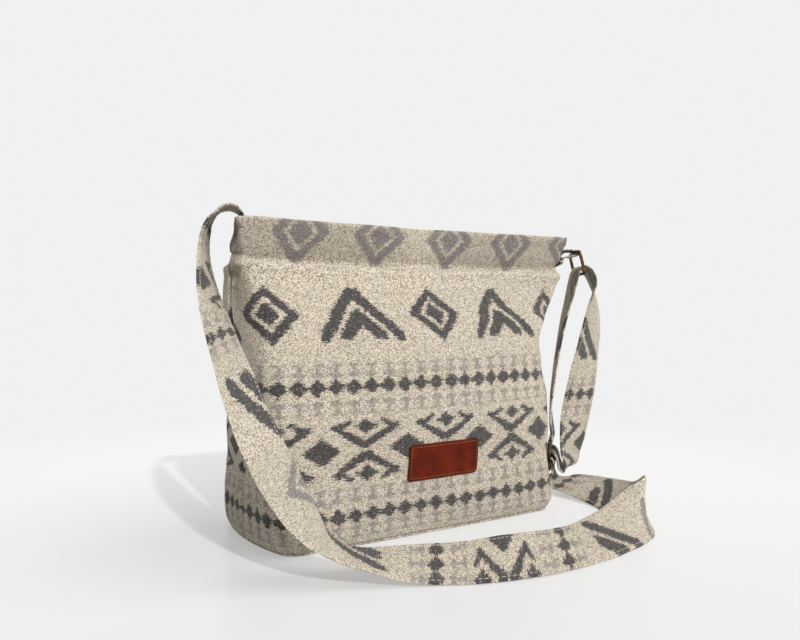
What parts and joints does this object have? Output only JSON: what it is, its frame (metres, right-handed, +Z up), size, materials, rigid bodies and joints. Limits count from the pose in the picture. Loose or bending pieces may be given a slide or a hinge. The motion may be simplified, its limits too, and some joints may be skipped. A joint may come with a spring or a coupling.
{
  "type": "woven crossbody bag",
  "caption": "Stuffed boxed crossbody bag in flat-woven kilim cloth with a leather patch and a wide adjustable strap of the same cloth on a ring and slide adjuster.",
  "frame": {"origin": "centre of the flat base's underside, on the surface that the bag stands on", "axes": "+Z up, front face with the patch looks along -Y, +X towards the ring end of the mouth"},
  "size_m": [0.5067, 0.3011, 0.3012],
  "materials": {
    "body_cloth": "flat woven cotton, matte",
    "strap_cloth": "flat woven cotton, matte, two layers",
    "zip_tape": "woven tape",
    "antique_brass": "antique, worn satin",
    "patch_leather": "smooth, satin",
    "stitch_thread": "waxed thread"
  },
  "bodies": {
    "bag": {"front_panel": "body_cloth", "back_panel": "body_cloth", "base_panel": "body_cloth", "zip_tape_front": "zip_tape", "zip_tape_back": "zip_tape", "zip_teeth_front": "antique_brass", "zip_teeth_back": "antique_brass", "ring_tab": "body_cloth", "shoulder_strap": "strap_cloth", "leather_patch": "patch_leather", "patch_stitching": "stitch_thread"},
    "ring": {"strap_ring": "antique_brass"},
    "adjuster": {"strap_adjuster": "antique_brass", "strap_loop_end": "strap_cloth"},
    "slider": {"zip_slider": "antique_brass"},
    "pull": {"zip_pull": "antique_brass"}
  },
  "joints": [
    {"name": "ring_swing", "type": "hinge", "parent": "bag", "child": "ring", "pos_m": [0.2447, -0.0088, 0.2732], "axis": [-0.5402, -0.8415, 0], "range_deg": [-5, 12], "deforming": ["shoulder_strap", "strap_loop_end"]},
    {"name": "adjuster_slide", "type": "slide", "parent": "ring", "child": "adjuster", "axis": [0.03, 0.04, 0.9987], "range_m": [0, 0.03], "deforming": ["shoulder_strap", "strap_loop_end"]},
    {"name": "zip_travel", "type": "slide", "parent": "bag", "child": "slider", "axis": [-1, 0, 0], "range_m": [0, 0.32], "deforming": ["zip_teeth_front", "zip_teeth_back"]},
    {"name": "pull_lift", "type": "hinge", "parent": "slider", "child": "pull", "pos_m": [0.1966, 0.004, 0.25585], "axis": [0, 1, 0], "range_deg": [0, 100]}
  ]
}
